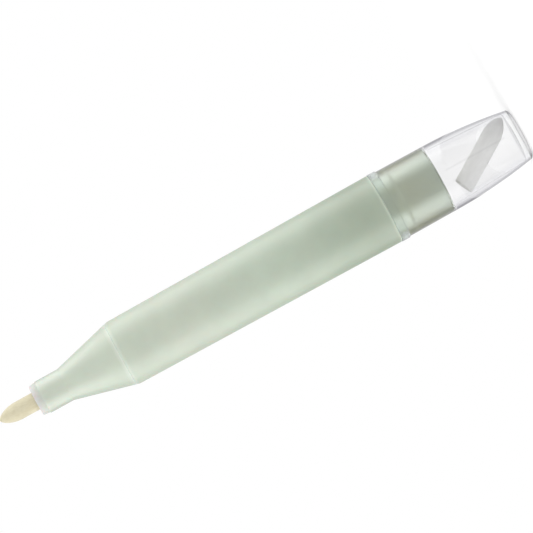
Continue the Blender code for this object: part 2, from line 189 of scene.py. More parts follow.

# Tints of the clear plastic, by how far the surface turns away, from 0 to 1; their darkening is painted
# shade for the dark reflections at its edges. First its outside wall
CLEAR_OUTSIDE = [
    (0.00, (0.92, 0.92, 0.923)),
    (0.12, (0.905, 0.905, 0.91)),
    (0.24, (0.86, 0.86, 0.865)),
    (0.34, (0.77, 0.77, 0.785)),
    (0.50, (0.77, 0.77, 0.79)),
    (0.60, (0.53, 0.53, 0.56)),
    (0.67, (0.20, 0.20, 0.23)),
    (0.75, (0.08, 0.08, 0.10)),
    (1.00, (0.05, 0.05, 0.07)),
]
# The chamber and the bore
CLEAR_INSIDE = [
    (0.00, (0.96, 0.96, 0.963)),
    (0.80, (0.93, 0.93, 0.935)),
    (1.00, (0.60, 0.60, 0.63)),
]
# The flat end and the corner round it, with painted shade at the corner
CLEAR_AT_EDGES = [
    (0.00, (0.94, 0.94, 0.943)),
    (0.45, (0.80, 0.80, 0.81)),
    (0.72, (0.24, 0.24, 0.26)),
    (0.88, (0.24, 0.24, 0.26)),
    (0.93, (0.84, 0.84, 0.86)),
    (1.00, (0.84, 0.84, 0.86)),
]
# The wall round the tenon
CLEAR_ROUND_SEAT = [
    (0.00, (0.96, 0.96, 0.963)),
    (0.60, (0.94, 0.94, 0.943)),
    (0.78, (0.72, 0.72, 0.74)),
    (0.88, (0.45, 0.45, 0.47)),
    (0.95, (0.08, 0.08, 0.10)),
    (1.00, (0.05, 0.05, 0.07)),
]
# The far half of that wall, where it is seen through nothing but clear plastic
CLEAR_BEHIND_SEAT = [
    (0.00, (0.92, 0.92, 0.925)),
    (0.30, (0.90, 0.90, 0.905)),
    (0.45, (0.80, 0.80, 0.81)),
    (0.60, (0.55, 0.55, 0.57)),
    (0.72, (0.25, 0.25, 0.27)),
    (1.00, (0.10, 0.10, 0.12)),
]
# The raised rim, whose tints paint shade over the tenon's highlights, and how milky it is
CLEAR_RIM = [
    (0.00, (0.96, 0.96, 0.96)),
    (0.10, (0.95, 0.95, 0.95)),
    (0.17, (0.90, 0.91, 0.91)),
    (0.24, (0.86, 0.875, 0.88)),
    (0.45, (0.82, 0.87, 0.87)),
    (1.00, (0.82, 0.87, 0.87)),
]
CLEAR_RIM_MILK = [
    (0.36, (0.0, 0.0, 0.0)),
    (0.46, (0.22, 0.22, 0.22)),
    (0.56, (0.36, 0.36, 0.36)),
    (0.68, (0.42, 0.42, 0.42)),
]
ZONE_BLEND = 0.0003  # height over which one tint gives way to the next
MILK_FADE_START = 0.0008  # below the shoulder
MILK_FADE_END = 0.0002
MILK_AT_SHOULDER = 0.5  # share of the milk that is left there

# Smoothness of the turned meshes
TURN_STEPS = 144
CAP_STEPS = 288
FILLET_STEPS = 5
SUPPORT = 0.00008  # distance of the ring that keeps shading flat beside a fillet
SHARP_ANGLE = math.radians(32)
ON_AXIS = 1e-7  # a ring of a smaller radius is one point
LOOKS_UP = 0.5  # height of the normal of a face that looks up rather than out

# Radii, heights and slopes that follow
PEN_LENGTH = cad_box[1].z - cad_box[0].z
TENON_RADIUS = CAP_BORE_RADIUS - SNUG
TENON_BORE_RADIUS = TENON_RADIUS - TENON_WALL
SPIGOT_RADIUS = BARREL_BORE_RADIUS - SNUG
SPIGOT_BORE_RADIUS = SPIGOT_RADIUS - SPIGOT_WALL
TIP_BORE_RADIUS = TIP_RADIUS + SNUG
SLEEVE_RADIUS = TIP_BORE_RADIUS + SLEEVE_WALL
NOSE_BORE_RADIUS = SLEEVE_RADIUS + SNUG
CAP_LEDGE_Z = CAP_LENGTH - CAP_SEAT_DEPTH
CAP_RIM_Z = CAP_LENGTH - CAP_RIM_LENGTH
CHAMBER_MOUTH_Z = CAP_LEDGE_Z - CHAMBER_LEAD_IN
SHOULDER_Z = CAP_LENGTH + SEAT
BEAD_Z = SHOULDER_Z - CAP_BEAD_FROM_SHOULDER
CONE_TOP_Z = NOSE_FRONT_Z - NOSE_LENGTH
NOSE_BASE_Z = BARREL_FRONT_Z + SEAT
CONE_SLOPE = (CONE_BASE_RADIUS - NOSE_RADIUS) / (CONE_TOP_Z - NOSE_BASE_Z)
TIP_STOP_Z = TIP_END_Z - SEAT

# Studio light round the pen: (degrees round from the camera, level); plus is the side of +X
STUDIO = (
    (-180, 0.62),
    (-124, 0.48),
    (-110, 1.4),
    (-86, 2.0),
    (-64, 2.0),
    (-34, 0.90),
    (46, 0.90),
    (66, 1.4),
    (86, 2.15),
    (110, 2.15),
    (132, 0.68),
    (180, 0.62),
)
STUDIO_SCALE = 4.0  # the ramp's own colours stay below 1
ZENITH_LEVEL = 0.9
CEILING_START = 0.80  # sine of the angle above or below the horizon where the ceiling's level begins
CEILING_FULL = 0.92
ROUND_TRIP = 3.5  # a ray into the cap and out again crosses more faces of clear plastic than this
FLOOR_LIFT = 0.45
FLOOR_COLOUR = 0.57
FLOOR_RADIUS = 0.14
FLOOR_STEPS = 96
FLOOR_DROP = 0.0001  # keeps the floor off the cap's flat end


def fillet(before, corner, after, radius):
    """Points of the arc that rounds the corner, with a support point before and after it."""
    back = (before - corner).normalized()
    ahead = (after - corner).normalized()
    half = back.angle(ahead) / 2
    reach = radius / math.tan(half)
    centre = corner + (back + ahead).normalized() * radius / math.sin(half)
    start = (corner + back * reach - centre).normalized()
    end = (corner + ahead * reach - centre).normalized()
    arc = [centre + start.slerp(end, i / FILLET_STEPS) * radius for i in range(FILLET_STEPS + 1)]
    if (before - corner).length > reach + 2 * SUPPORT:
        arc.insert(0, corner + back * (reach + SUPPORT))
    if (after - corner).length > reach + 2 * SUPPORT:
        arc.append(corner + ahead * (reach + SUPPORT))
    return arc


def rounded(corners):
    """(radius, height) points through the corners; a corner with a third number is filleted by it."""
    flat = [Vector(corner[:2]) for corner in corners]
    points = []
    for i, corner in enumerate(corners):
        if len(corner) == 3:
            points += fillet(flat[i - 1], flat[i], flat[(i + 1) % len(flat)], corner[2])
        else:
            points.append(flat[i])
    return points


def turned(name, points, closed, steps=TURN_STEPS):
    """A mesh object turned about +Z from (radius, height) points."""
    shape = bmesh.new()
    rings = []
    for radius, height in points:
        if radius < ON_AXIS:
            rings.append([shape.verts.new((0, 0, height))] * steps)
        else:
            turns = [math.tau * i / steps for i in range(steps)]
            rings.append([
                shape.verts.new((radius * math.cos(a), radius * math.sin(a), height)) for a in turns
            ])
    pairs = list(zip(rings, rings[1:]))
    if closed:
        pairs.append((rings[-1], rings[0]))
    for ring, below in pairs:
        for i in range(steps):
            j = (i + 1) % steps
            corners = dict.fromkeys((ring[i], ring[j], below[j], below[i]))
            shape.faces.new(list(corners))
    bmesh.ops.recalc_face_normals(shape, faces=shape.faces)
    mesh = bpy.data.meshes.new(name)
    shape.to_mesh(mesh)
    shape.free()
    mesh.shade_smooth()
    mesh.set_sharp_from_angle(angle=SHARP_ANGLE)
    obj = bpy.data.objects.new(name, mesh)
    bpy.context.scene.collection.objects.link(obj)
    return obj


def cap_outside(height):
    """Outer radius of the cap's body, which narrows along an arc below the seat."""
    drop = max(0.0, CAP_LEDGE_Z - height)
    sagitta = CAP_CURVE_RADIUS - math.sqrt(CAP_CURVE_RADIUS**2 - drop**2)
    return CAP_NECK_RADIUS - CAP_NECK_DRAFT - sagitta


def end_cap():
    """Clear cap: a bore for the tenon, the spare tip's chamber, a raised rim and a curved outside."""
    rim_top = SHOULDER_Z - HAIR
    groove_radius = CAP_BORE_RADIUS + CAP_BEAD
    curve = [CAP_LEDGE_Z * (1 - i / CAP_CURVE_STEPS) for i in range(CAP_CURVE_STEPS)]
    cap = turned("clear_end_cap", rounded([
        (0, CAP_END_WALL),
        (CHAMBER_FLOOR_RADIUS, CAP_END_WALL, CHAMBER_CORNER),
        *[(chamber_radius(height), height) for height in ridge_heights()],
        (CHAMBER_MOUTH_RADIUS, CHAMBER_MOUTH_Z, CAP_BEND),
        ((CHAMBER_MOUTH_RADIUS + CAP_BORE_RADIUS) / 2, CAP_LEDGE_Z, CAP_EDGE),
        (CAP_BORE_RADIUS, CAP_LEDGE_Z, CAP_EDGE),
        (CAP_BORE_RADIUS, BEAD_Z - CAP_BEAD_LENGTH, CAP_BEND),
        (groove_radius, BEAD_Z - CAP_BEAD_LENGTH / 2, CAP_BEND),
        (groove_radius, BEAD_Z + CAP_BEAD_LENGTH / 2, CAP_BEND),
        (CAP_BORE_RADIUS, BEAD_Z + CAP_BEAD_LENGTH, CAP_BEND),
        (CAP_BORE_RADIUS, rim_top, CAP_EDGE),
        (CAP_RIM_RADIUS, rim_top, CAP_EDGE),
        (CAP_RIM_RADIUS, CAP_RIM_Z, CAP_RIM_EDGE),
        (CAP_NECK_RADIUS, CAP_RIM_Z, FINE_EDGE),
        *[(cap_outside(height), height) for height in curve],
        (cap_outside(0), 0, CAP_CORNER),
        (0, 0),
    ]), closed=False, steps=CAP_STEPS)
    raise_ridge(cap.data)
    return cap


def chamber_radius(height):
    """Radius of the chamber's tapered wall."""
    part = (height - CAP_END_WALL) / (CHAMBER_MOUTH_Z - CAP_END_WALL)
    return CHAMBER_FLOOR_RADIUS + part * (CHAMBER_MOUTH_RADIUS - CHAMBER_FLOOR_RADIUS)


def ridge_heights():
    """Heights of the rings that carry the ridge, from its start to just below the mouth."""
    top = CHAMBER_MOUTH_Z - CHAMBER_CORNER
    return [RIDGE_START_Z + (top - RIDGE_START_Z) * i / RIDGE_RINGS for i in range(RIDGE_RINGS + 1)]


def raise_ridge(mesh):
    """Raise the mould ridge along the front of the chamber's wall."""
    low, high = ridge_heights()[0], ridge_heights()[-1]
    for vertex in mesh.vertices:
        radius = math.hypot(vertex.co.x, vertex.co.y)
        if low < vertex.co.z <= high + HAIR and radius < chamber_radius(vertex.co.z) + HAIR:
            aside = (math.atan2(vertex.co.y, vertex.co.x) - RIDGE_TURN) * radius
            rise = RIDGE_HEIGHT * math.exp(-((aside / RIDGE_HALF_WIDTH) ** 2))
            vertex.co.x *= 1 - rise / radius
            vertex.co.y *= 1 - rise / radius


def barrel():
    """Barrel with its tenon; its front edge carries on the nose's cone."""
    ledge = SHOULDER_Z + LEDGE_FROM_SHOULDER
    lip = BARREL_FRONT_RADIUS - CONE_SLOPE * BARREL_CHAMFER
    tenon_end = CAP_LEDGE_Z + HAIR
    return turned("barrel_shell", rounded([
        (BARREL_BORE_RADIUS, BARREL_FRONT_Z),
        (lip, BARREL_FRONT_Z, SEAM_EDGE),
        (BARREL_FRONT_RADIUS, BARREL_FRONT_Z - BARREL_CHAMFER, BARREL_CHAMFER),
        (BARREL_REAR_RADIUS, SHOULDER_Z, EDGE),
        (TENON_RADIUS, SHOULDER_Z, EDGE),
        (TENON_RADIUS, BEAD_Z + CAP_BEAD_LENGTH * BEAD_REACH, BEAD_FOOT_BEND),
        (TENON_RADIUS + CAP_BEAD, BEAD_Z, BEAD_CROWN_BEND),
        (TENON_RADIUS, BEAD_Z - CAP_BEAD_LENGTH * BEAD_REACH, BEAD_FOOT_BEND),
        (TENON_RADIUS, tenon_end + TENON_CHAMFER, SOFT_EDGE),
        (TENON_RADIUS - TENON_CHAMFER, tenon_end, EDGE),
        (TENON_BORE_RADIUS, tenon_end, EDGE),
        (TENON_BORE_RADIUS, ledge, EDGE),
        (BARREL_BORE_RADIUS, ledge, EDGE),
    ]), closed=True)


def nose_section():
    """Cone and straight nose, with the spigot that reaches into the barrel."""
    inner_base = CONE_BASE_RADIUS - CONE_WALL
    spigot_bore_top = NOSE_BASE_Z + (inner_base - SPIGOT_BORE_RADIUS) / CONE_SLOPE
    nose_bore_low = NOSE_BASE_Z + (inner_base - NOSE_BORE_RADIUS) / CONE_SLOPE
    base = BARREL_FRONT_Z + HAIR
    base_radius = CONE_BASE_RADIUS + CONE_SLOPE * (NOSE_BASE_Z - base)
    return turned("nose_shell", rounded([
        (NOSE_BORE_RADIUS, NOSE_FRONT_Z, CLOSE_EDGE),
        (NOSE_RADIUS, NOSE_FRONT_Z, NOSE_EDGE),
        (NOSE_RADIUS, CONE_TOP_Z, CONE_BEND),
        (base_radius, base, SEAM_EDGE),
        (SPIGOT_RADIUS, base, NOSE_EDGE),
        (SPIGOT_RADIUS, SPIGOT_END_Z + SPIGOT_CHAMFER, SOFT_EDGE),
        (SPIGOT_RADIUS - SPIGOT_CHAMFER, SPIGOT_END_Z, EDGE),
        (SPIGOT_BORE_RADIUS, SPIGOT_END_Z, EDGE),
        (SPIGOT_BORE_RADIUS, spigot_bore_top, CONE_BORE_BEND),
        (NOSE_BORE_RADIUS, nose_bore_low, CONE_BORE_BEND),
    ]), closed=True)


def tip_holder():
    """Insert with the milky flange at the front of the nose and the sleeve that grips the tip."""
    flange_z = NOSE_FRONT_Z + HAIR
    return turned("holder_insert", rounded([
        (TIP_BORE_RADIUS, FLANGE_FRONT_Z, FLANGE_BORE_EDGE),
        (FLANGE_FRONT_RADIUS, FLANGE_FRONT_Z, FLANGE_EDGE),
        (FLANGE_REAR_RADIUS, flange_z, FLANGE_REAR_EDGE),
        (SLEEVE_RADIUS, flange_z, EDGE),
        (SLEEVE_RADIUS, SLEEVE_END_Z + SLEEVE_CHAMFER, EDGE),
        (SLEEVE_RADIUS - SLEEVE_CHAMFER, SLEEVE_END_Z, FINE_EDGE),
        (WICK_BORE_RADIUS, SLEEVE_END_Z, EDGE),
        (WICK_BORE_RADIUS, TIP_STOP_Z, CLOSE_EDGE),
        (TIP_BORE_RADIUS, TIP_STOP_Z, CLOSE_EDGE),
    ]), closed=True)


def rear_plug():
    """Cup that closes the tenon, with sealing ribs between its grooves."""
    groove_radius = PLUG_RADIUS - PLUG_GROOVE_DEPTH
    pitch = (PLUG_TOP_Z - TENON_END_Z) / (PLUG_GROOVE_COUNT + 1)
    grooves = []
    for i in range(PLUG_GROOVE_COUNT, 0, -1):
        top = TENON_END_Z + i * pitch + PLUG_GROOVE_LENGTH / 2
        low = top - PLUG_GROOVE_LENGTH
        grooves += [
            (PLUG_RADIUS, top, CLOSE_EDGE),
            (groove_radius, top - PLUG_GROOVE_DEPTH, CLOSE_EDGE),
            (groove_radius, low + PLUG_GROOVE_DEPTH, CLOSE_EDGE),
            (PLUG_RADIUS, low, CLOSE_EDGE),
        ]
    return turned("rear_plug_cup", rounded([
        (0, TENON_END_Z + PLUG_FLOOR),
        (groove_radius - PLUG_WALL, TENON_END_Z + PLUG_FLOOR, PLUG_FLOOR_BEND),
        (groove_radius - PLUG_WALL, PLUG_TOP_Z, EDGE),
        (PLUG_RADIUS - PLUG_CHAMFER, PLUG_TOP_Z, EDGE),
        (PLUG_RADIUS, PLUG_TOP_Z - PLUG_CHAMFER, EDGE),
        *grooves,
        (PLUG_RADIUS, TENON_END_Z + PLUG_CHAMFER, EDGE),
        (PLUG_RADIUS - PLUG_CHAMFER, TENON_END_Z, EDGE),
        (0, TENON_END_Z),
    ]), closed=False)


def felt_outline():
    """Outline of a felt tip from its point down to its flat end, in even rings."""
    base = TIP_LENGTH - TIP_BULLET
    bullet_rings = round(TIP_BULLET / FELT_RING) * 2
    turns = [math.pi / 2 * (1 - i / bullet_rings) for i in range(1, bullet_rings)]
    points = [(0, TIP_LENGTH)]
    points += [
        (TIP_RADIUS * math.cos(a) ** TIP_BLUNTNESS, base + TIP_BULLET * math.sin(a)) for a in turns
    ]
    shank_rings = round((base - TIP_CHAMFER) / FELT_RING)
    points += [
        (TIP_RADIUS, base + (TIP_CHAMFER - base) * i / shank_rings) for i in range(shank_rings + 1)
    ]
    end_rings = round(TIP_RADIUS / FELT_RING)
    end_radius = TIP_RADIUS - TIP_CHAMFER
    points += [(end_radius * (1 - i / end_rings), 0) for i in range(end_rings + 1)]
    return points


def dents(place, scales, seed):
    """Noise at this place of a felt tip, drawn out along it."""
    across, along = scales
    return noise.noise(Vector((place.x * across, place.y * across, place.z * along + seed)))


def felt_tip(name, seed):
    """A bullet tip whose surface has the shallow lengthwise dents of pressed fibre."""
    obj = turned(name, felt_outline(), closed=False, steps=FELT_STEPS)
    outward = [vertex.normal.copy() for vertex in obj.data.vertices]
    for vertex, normal in zip(obj.data.vertices, outward):
        fine = dents(vertex.co, FINE_DENTS, seed)
        broad = dents(vertex.co, BROAD_DENTS, -seed)
        relief = fine * FINE_SHARE + broad * (1 - FINE_SHARE)
        vertex.co -= normal * (FELT_SINK - FELT_RELIEF * relief)
    return obj


def spare_place():
    """Matrix that lays a tip, which stands on its flat end at the origin, where the spare one lies."""
    points = np.array([v.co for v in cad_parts["spare_tip"].data.vertices], float)
    centre = points.mean(axis=0)
    # The solid's points spread most along its axis, and its bullet end lies low
    axis = np.linalg.eigh(np.cov((points - centre).T))[1][:, -1]
    if axis[2] > 0:
        axis = -axis
    along = Vector(axis)
    turn = along.to_track_quat("Z", "Y").to_matrix()
    local = (points - centre) @ np.array(turn)
    middle = (local.min(axis=0) + local.max(axis=0)) / 2
    middle[2] = local[:, 2].min()
    place = turn.to_4x4()
    place.translation = Vector(centre) + turn @ Vector(middle)
    return place


def node(tree, kind, inputs, **settings):
    """A node of this kind; inputs gives its sockets values or other nodes' outputs."""
    made = tree.nodes.new(kind)
    for key, value in settings.items():
        setattr(made, key, value)
    for socket, value in inputs.items():
        if isinstance(value, bpy.types.NodeSocket):
            tree.links.new(value, made.inputs[socket])
        else:
            made.inputs[socket].default_value = value
    return made


def maths(tree, operation, *values):
    """Result of this operation on numbers or other nodes' outputs."""
    return node(tree, "ShaderNodeMath", dict(enumerate(values)), operation=operation).outputs[0]


def scaled(tree, colour, factor):
    """The colour times a number from another node."""
    inputs = {0: colour, 1: factor}
    return node(tree, "ShaderNodeVectorMath", inputs, operation="MULTIPLY").outputs["Vector"]


def axes(tree, vector):
    """The x, y and z outputs of a vector from another node."""
    return node(tree, "ShaderNodeSeparateXYZ", {"Vector": vector}).outputs


def spread(tree, value, low, high, source=(0.3, 0.7)):
    """The value mapped from the source range to low and high; the default range is that of noise."""
    inputs = {"Value": value, "From Min": source[0], "From Max": source[1], "To Min": low, "To Max": high}
    return node(tree, "ShaderNodeMapRange", inputs).outputs["Result"]


def grain(tree, place, scale, detail=2.0, stretch=None):
    """Noise of this scale, per metre; stretch draws it out along the piece."""
    if stretch:
        place = node(tree, "ShaderNodeMapping", {"Vector": place, "Scale": stretch}).outputs["Vector"]
    inputs = {"Vector": place, "Scale": scale, "Detail": detail}
    return node(tree, "ShaderNodeTexNoise", inputs).outputs["Fac"]


def bump(tree, height, depth, strength):
    """Normal of a surface with this relief, depth in metres."""
    inputs = {"Height": height, "Distance": depth, "Strength": strength}
    return node(tree, "ShaderNodeBump", inputs).outputs["Normal"]


def ramp(tree, value, stops):
    """Colour ramp with (position, colour) stops."""
    made = node(tree, "ShaderNodeValToRGB", {"Fac": value})
    elements = made.color_ramp.elements
    while len(elements) < len(stops):
        elements.new(1)
    for element, (position, colour) in zip(elements, stops):
        element.position = position
        element.color = (*colour, 1)
    return made.outputs["Color"]


def blend(tree, factor, first, second):
    """The first colour where the factor is 0, the second where it is 1."""
    # A Mix node's inputs 6 and 7 and its output 2 are the ones for colours
    inputs = {"Factor": factor, 6: first, 7: second}
    return node(tree, "ShaderNodeMix", inputs, data_type="RGBA").outputs[2]


def principled(name, colour, roughness, sockets=()):
    """A Principled material, its node tree and its object coordinates."""
    material = bpy.data.materials.new(name)
    material.use_nodes = True
    tree = material.node_tree
    values = {"Base Color": (*colour, 1), "Roughness": roughness, **dict(sockets)}
    for socket, value in values.items():
        tree.nodes["Principled BSDF"].inputs[socket].default_value = value
    place = node(tree, "ShaderNodeTexCoord", {}).outputs["Object"]
    return material, tree, place


def feed(tree, outputs):
    """Link each output to the Principled shader's socket of that name."""
    for socket, output in outputs.items():
        tree.links.new(output, tree.nodes["Principled BSDF"].inputs[socket])


def frosted_plastic():
    """Pale green moulded plastic, etched and satin, glossier at the nose, darker to the rear, with painted
    highlights on its edges and its seam.
    """
    material, tree, place = principled("frosted_green_plastic", (0.49, 0.54, 0.44), 0.35, {
        "Specular IOR Level": 1.0,
        "Subsurface Weight": 0.25,
        "Subsurface Scale": 0.0012,
        "Coat Roughness": 0.2,
        "Coat IOR": NOSE_GLOSS_IOR,
    })
    along = spread(tree, axes(tree, place)["Z"], 0, 1, (SHOULDER_Z, NOSE_FRONT_Z))
    seam = (NOSE_BASE_Z - SHOULDER_Z) / (NOSE_FRONT_Z - SHOULDER_Z)
    body = (0.50, 0.563, 0.46)
    # Painted highlight along the seam between nose and barrel
    seam_highlight = (0.57, 0.62, 0.53)
    # From the shoulder to the nose's front, darker to the rear; the light edges at both ends and on both
    # sides of the seam are painted highlights
    tint = ramp(tree, along, [
        (0.0, (0.62, 0.69, 0.585)),
        (0.0025, (0.50, 0.575, 0.47)),
        (0.006, (0.372, 0.44, 0.342)),
        (0.06, (0.355, 0.42, 0.32)),
        (0.14, (0.383, 0.455, 0.353)),
        (0.22, (0.435, 0.51, 0.403)),
        (0.35, (0.475, 0.553, 0.443)),
        (0.60, (0.50, 0.555, 0.455)),
        (seam - 0.009, body),
        (seam - 0.0042, seam_highlight),
        (seam - 0.0026, (0.68, 0.735, 0.65)),
        (seam - 0.001, seam_highlight),
        (seam + 0.004, seam_highlight),
        (seam + 0.008, body),
        (0.994, (0.505, 0.565, 0.465)),
        (0.998, (0.545, 0.60, 0.50)),
        (1.0, (0.58, 0.63, 0.54)),
    ])
    cloud = spread(tree, grain(tree, place, scale=240, detail=3), 0.97, 1.03)
    frost = grain(tree, place, scale=11000)
    rough = spread(tree, grain(tree, place, scale=700, detail=3), 0.33, 0.37)
    towards_front = spread(tree, along, 0, 1, (seam, 1))
    polish = spread(tree, towards_front, 0, NOSE_POLISH, (0, 1))
    feed(tree, {
        "Base Color": scaled(tree, tint, cloud),
        "Coat Weight": towards_front,
        "Roughness": maths(tree, "SUBTRACT", rough, polish),
        "Normal": bump(tree, frost, depth=0.000006, strength=0.3),
    })
    return material


def tenon_plastic():
    """The same plastic where it is polished, under the end cap; the plug darkens it from inside."""
    material, tree, place = principled("polished_green_plastic", (0.3, 0.33, 0.24), 0.36, {
        "IOR": 2.0,
        "Specular IOR Level": 1.0,
        "Specular Tint": (0.75, 1.0, 0.90, 1.0),
        "Coat Weight": 1.0,
        "Coat Roughness": 0.28,
        "Coat IOR": 2.15,
    })
    along = spread(tree, axes(tree, place)["Z"], 0, 1, (TENON_END_Z, SHOULDER_Z))
    plug_top = (PLUG_TOP_Z - TENON_END_Z) / (SHOULDER_Z - TENON_END_Z)
    tint = ramp(tree, along, [
        (0.0, (0.155, 0.155, 0.05)),
        (plug_top - 0.1, (0.158, 0.138, 0.005)),
        (plug_top + 0.1, (0.16, 0.158, 0.02)),
        (1.0, (0.17, 0.19, 0.05)),
    ])
    cloud = spread(tree, grain(tree, place, scale=400, detail=3), 0.96, 1.04)
    feed(tree, {
        "Base Color": scaled(tree, tint, cloud),
        "Roughness": spread(tree, grain(tree, place, scale=900), 0.28, 0.33),
        "Normal": bump(tree, grain(tree, place, scale=3000), depth=0.00001, strength=0.3),
    })
    return material


def milky_plastic():
    """Uncoloured plastic of the tip holder, cloudy and slightly waxy; the green that the nose shines into
    it is painted light.
    """
    material, tree, place = principled("natural_plastic", (0.60, 0.60, 0.58), 0.35, {
        "Subsurface Weight": 0.3,
        "Subsurface Scale": 0.0008,
    })
    along = spread(tree, axes(tree, place)["Z"], 0, 1, (NOSE_FRONT_Z, FLANGE_FRONT_Z))
    # Painted light: the nose's green at the flange's foot; towards the front it grows lighter
    tint = ramp(tree, along, [
        (0.0, (0.58, 0.615, 0.54)),
        (0.12, (0.55, 0.58, 0.51)),
        (0.35, (0.56, 0.58, 0.525)),
        (0.75, (0.60, 0.60, 0.58)),
        (1.0, (0.64, 0.64, 0.62)),
    ])
    cloud = spread(tree, grain(tree, place, scale=900, detail=3), 0.96, 1.04)
    feed(tree, {
        "Base Color": scaled(tree, tint, cloud),
        "Normal": bump(tree, grain(tree, place, scale=6000), depth=0.00001, strength=0.4),
    })
    return material


def plug_plastic():
    """Moulded plug, satin and darker than the barrel."""
    material, tree, place = principled("plug_plastic", (0.30, 0.31, 0.23), 0.35)
    cloud = spread(tree, grain(tree, place, scale=500, detail=3), 0, 1)
    feed(tree, {
        "Base Color": ramp(tree, cloud, [(0.0, (0.28, 0.29, 0.215)), (1.0, (0.33, 0.34, 0.255))]),
        "Normal": bump(tree, grain(tree, place, scale=5000), depth=0.00001, strength=0.4),
    })
    return material


def behind(tree, inner):
    """1 where the camera looks at the wall's far half through nothing but clear plastic, otherwise 0."""
    turned_away = node(tree, "ShaderNodeNewGeometry", {}).outputs["Backfacing"]
    far = spread(tree, turned_away, inner, 1 - inner, (0, 1))
    path = node(tree, "ShaderNodeLightPath", {}).outputs
    bounces = maths(tree, "ADD", path["Diffuse Depth"], path["Glossy Depth"])
    return maths(tree, "GREATER_THAN", far, bounces)


def ridge_shade(tree, place):
    """1, but less along the mould ridge of the chamber, where its shade is painted into the tint."""
    x, y, z = axes(tree, place)
    middle = CHAMBER_MOUTH_RADIUS * math.cos(RIDGE_TURN)
    aside = maths(tree, "ABSOLUTE", maths(tree, "SUBTRACT", x, middle))
    line = spread(tree, aside, 1, 0, (RIDGE_SHADE_CORE, RIDGE_HALF_WIDTH * RIDGE_SHADE_REACH))
    front = spread(tree, y, 1, 0, tuple(-CHAMBER_FLOOR_RADIUS * share for share in RIDGE_SHADE_FRONT))
    inside = spread(tree, y, 0, 1, (-CHAMBER_MOUTH_RADIUS - ZONE_BLEND, -CHAMBER_MOUTH_RADIUS))
    above = spread(tree, z, 0, 1, (RIDGE_START_Z, RIDGE_START_Z + RIDGE_FADE))
    below = spread(tree, z, 1, 0, (CHAMBER_MOUTH_Z - RIDGE_FADE, CHAMBER_MOUTH_Z))
    for mask in (front, inside, above, below):
        line = maths(tree, "MULTIPLY", line, mask)
    return spread(tree, line, 1.0, RIDGE_SHADE, (0, 1))


def clear_plastic(name, tints, ior, gloss, inner=0):
    """Polished clear plastic with a trace of moulding waviness; its tint paints shade on its edges, and
    its rim is milky.

    inner is 1 on the faces of the chamber and the bore, and 0 on the others.
    """
    material, tree, place = principled(name, tints[0][1], 0.02, {
        "Transmission Weight": 1.0,
        "IOR": ior,
        "Coat Weight": gloss,
        "Coat Roughness": 0.02,
        "Coat IOR": CLEAR_GLOSS_IOR,
    })
    facing = node(tree, "ShaderNodeLayerWeight", {"Blend": 0.5}).outputs["Facing"]
    height = axes(tree, place)["Z"]
    seat = blend(tree, behind(tree, inner), ramp(tree, facing, CLEAR_ROUND_SEAT),
                 ramp(tree, facing, CLEAR_BEHIND_SEAT))
    # Painted shade: the tint darkens as the surface turns away
    tint = ramp(tree, facing, tints)
    for zone, none_z, full_z in (
        (ramp(tree, facing, CLEAR_AT_EDGES), CAP_CORNER + ZONE_BLEND, CAP_CORNER),
        (seat, CAP_LEDGE_Z - ZONE_BLEND, CAP_LEDGE_Z),
        (ramp(tree, facing, CLEAR_RIM), CAP_RIM_Z - ZONE_BLEND, CAP_RIM_Z + ZONE_BLEND),
    ):
        here = spread(tree, height, 0, 1, (none_z, full_z))
        tint = blend(tree, here, tint, zone)
    fade = (SHOULDER_Z - MILK_FADE_START, SHOULDER_Z - MILK_FADE_END)
    fading = spread(tree, height, 1, MILK_AT_SHOULDER, fade)
    milk = scaled(tree, scaled(tree, ramp(tree, facing, CLEAR_RIM_MILK), here), fading)
    feed(tree, {
        "Base Color": scaled(tree, tint, ridge_shade(tree, place)),
        "Transmission Weight": maths(tree, "SUBTRACT", 1.0, milk),
        "Roughness": spread(tree, grain(tree, place, scale=1200), 0.005, 0.02),
        "Normal": bump(tree, grain(tree, place, scale=260, detail=1), depth=0.00002, strength=0.15),
    })
    return material


def felt(name, pale, deep, point_shade=1.0):
    """Pressed felt with lengthwise fibres in its colour and relief, with painted shade at its point if
    asked.
    """
    sheen = {"Sheen Weight": 0.45, "Sheen Roughness": 0.4}
    material, tree, place = principled(name, pale, 0.9, sheen)
    fibres = grain(tree, place, scale=7000, detail=4, stretch=(1, 1, 0.18))
    blotch = grain(tree, place, scale=900, detail=3, stretch=(1, 1, 0.5))
    shade = spread(tree, maths(tree, "MULTIPLY", fibres, blotch), 0, 1, (0.12, 0.38))
    tint = ramp(tree, shade, [(0.0, deep), (1.0, pale)])
    # Painted shade that darkens the tip towards its point
    painted_point_shade = spread(tree, axes(tree, place)["Z"], 1.0, point_shade, (0, TIP_LENGTH))
    feed(tree, {
        "Base Color": scaled(tree, tint, painted_point_shade),
        "Normal": bump(tree, fibres, depth=0.00003, strength=0.8),
    })
    return material


def fibre():
    """Bonded white fibre of the wick and the filler."""
    material, tree, place = principled("bonded_fibre", (0.8, 0.8, 0.76), 0.95)
    strands = grain(tree, place, scale=9000, detail=3, stretch=(1, 1, 0.05))
    shade = spread(tree, strands, 0, 1)
    feed(tree, {
        "Base Color": ramp(tree, shade, [(0.0, (0.68, 0.68, 0.63)), (1.0, (0.84, 0.84, 0.81))]),
        "Normal": bump(tree, strands, depth=0.00003, strength=0.8),
    })
    return material


def film():
    """Thin film sleeve of the filler."""
    material, tree, place = principled("film", (0.85, 0.86, 0.86), 0.2)
    crease = grain(tree, place, scale=500, detail=3, stretch=(1, 1, 0.3))
    shade = spread(tree, crease, 0, 1)
    feed(tree, {
        "Base Color": ramp(tree, shade, [(0.0, (0.80, 0.81, 0.81)), (1.0, (0.88, 0.89, 0.89))]),
        "Normal": bump(tree, crease, depth=0.00005, strength=0.5),
    })
    return material


